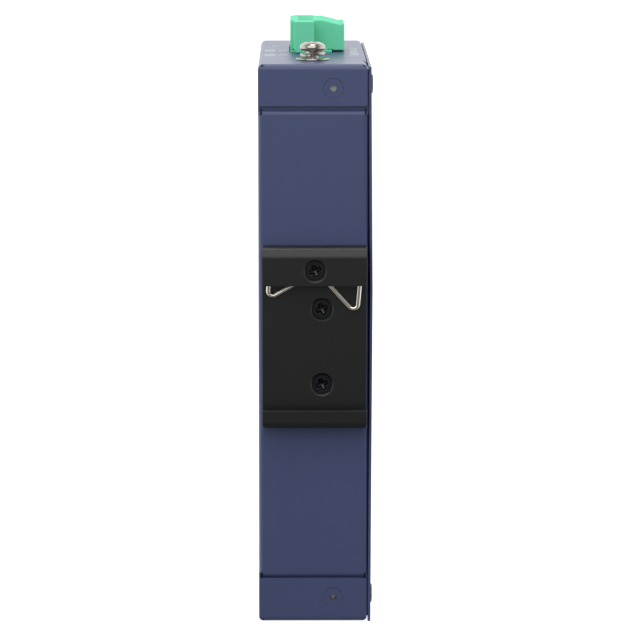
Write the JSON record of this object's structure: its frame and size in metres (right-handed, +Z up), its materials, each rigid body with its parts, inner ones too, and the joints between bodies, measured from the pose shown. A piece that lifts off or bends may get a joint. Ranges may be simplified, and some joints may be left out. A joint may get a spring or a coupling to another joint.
{
  "type": "poe switch",
  "caption": "Slim upright network switch that feeds power over its cables: folded steel case, ports on one edge, a rail clip with wire spring on the other, pluggable terminal on top.",
  "frame": {"origin": "middle of the tray's bottom face", "axes": "+Z up, +Y out of the ports, -Y towards the rail, +X towards the screwed side cover"},
  "size_m": [0.0275, 0.097, 0.1429],
  "materials": {
    "case_paint": "smooth blue powder coat",
    "clip_paint": "black powder coat",
    "nickel": "bright nickel plate",
    "cover_screw_paint": "dark blue black coat",
    "black_zinc": "black zinc",
    "zinc": "clear zinc plate",
    "terminal_green": "moulded green nylon",
    "tin": "tinned brass",
    "clamp_steel": "zinc plated steel",
    "board_green": "solder mask on glass laminate",
    "film_clear": "milky polyester film",
    "shield_nickel": "nickel plated brass shell",
    "insert_black": "black nylon",
    "contact_gold": "gold plated bronze",
    "package_black": "black epoxy",
    "pad_grey": "soft silicone pad",
    "sink_aluminium": "mill finish",
    "relay_white": "white moulded case",
    "led_lens": "tinted clear resin"
  },
  "bodies": {
    "case": {"case_tray": "case_paint", "side_cover": "case_paint", "tab_rivets": "case_paint", "din_clip": "clip_paint", "din_spring": "nickel", "ground_screw": "nickel", "ground_lock_washer": "nickel", "ground_flat_washer": "nickel", "cover_screws": "cover_screw_paint", "din_spring_screw": "black_zinc", "din_clip_screws": "black_zinc", "cover_press_nuts": "zinc", "din_press_nuts": "zinc", "ground_press_nut": "zinc", "rivet_mandrels": "zinc", "board_standoffs": "zinc", "board_screws": "zinc", "terminal_header": "terminal_green", "header_pins": "tin", "main_board": "board_green", "insulating_film": "film_clear", "port_shield_1": "shield_nickel", "port_shield_2": "shield_nickel", "port_shield_3": "shield_nickel", "port_shield_4": "shield_nickel", "port_shield_5": "shield_nickel", "port_insert_1": "insert_black", "port_insert_2": "insert_black", "port_insert_3": "insert_black", "port_insert_4": "insert_black", "port_insert_5": "insert_black", "led_holder": "insert_black", "port_contacts_1": "contact_gold", "port_contacts_2": "contact_gold", "port_contacts_3": "contact_gold", "port_contacts_4": "contact_gold", "port_contacts_5": "contact_gold", "lan_magnetics_1": "package_black", "lan_magnetics_2": "package_black", "lan_magnetics_3": "package_black", "lan_magnetics_4": "package_black", "lan_magnetics_5": "package_black", "switch_chip": "package_black", "poe_controller": "package_black", "power_inductor_1": "package_black", "power_inductor_2": "package_black", "thermal_pad": "pad_grey", "heat_sink": "sink_aluminium", "clock_crystal": "sink_aluminium", "input_capacitor_1": "sink_aluminium", "input_capacitor_2": "sink_aluminium", "input_capacitor_3": "sink_aluminium", "fault_relay": "relay_white", "status_leds": "led_lens"},
    "terminal_plug": {"plug_housing": "terminal_green", "plug_clamps": "tin", "plug_clamp_screws": "clamp_steel", "plug_contacts": "tin"}
  },
  "joints": [
    {"name": "plug_slide", "type": "slide", "parent": "case", "child": "terminal_plug", "axis": [0, 0, 1], "range_m": [0, 0.008]}
  ]
}
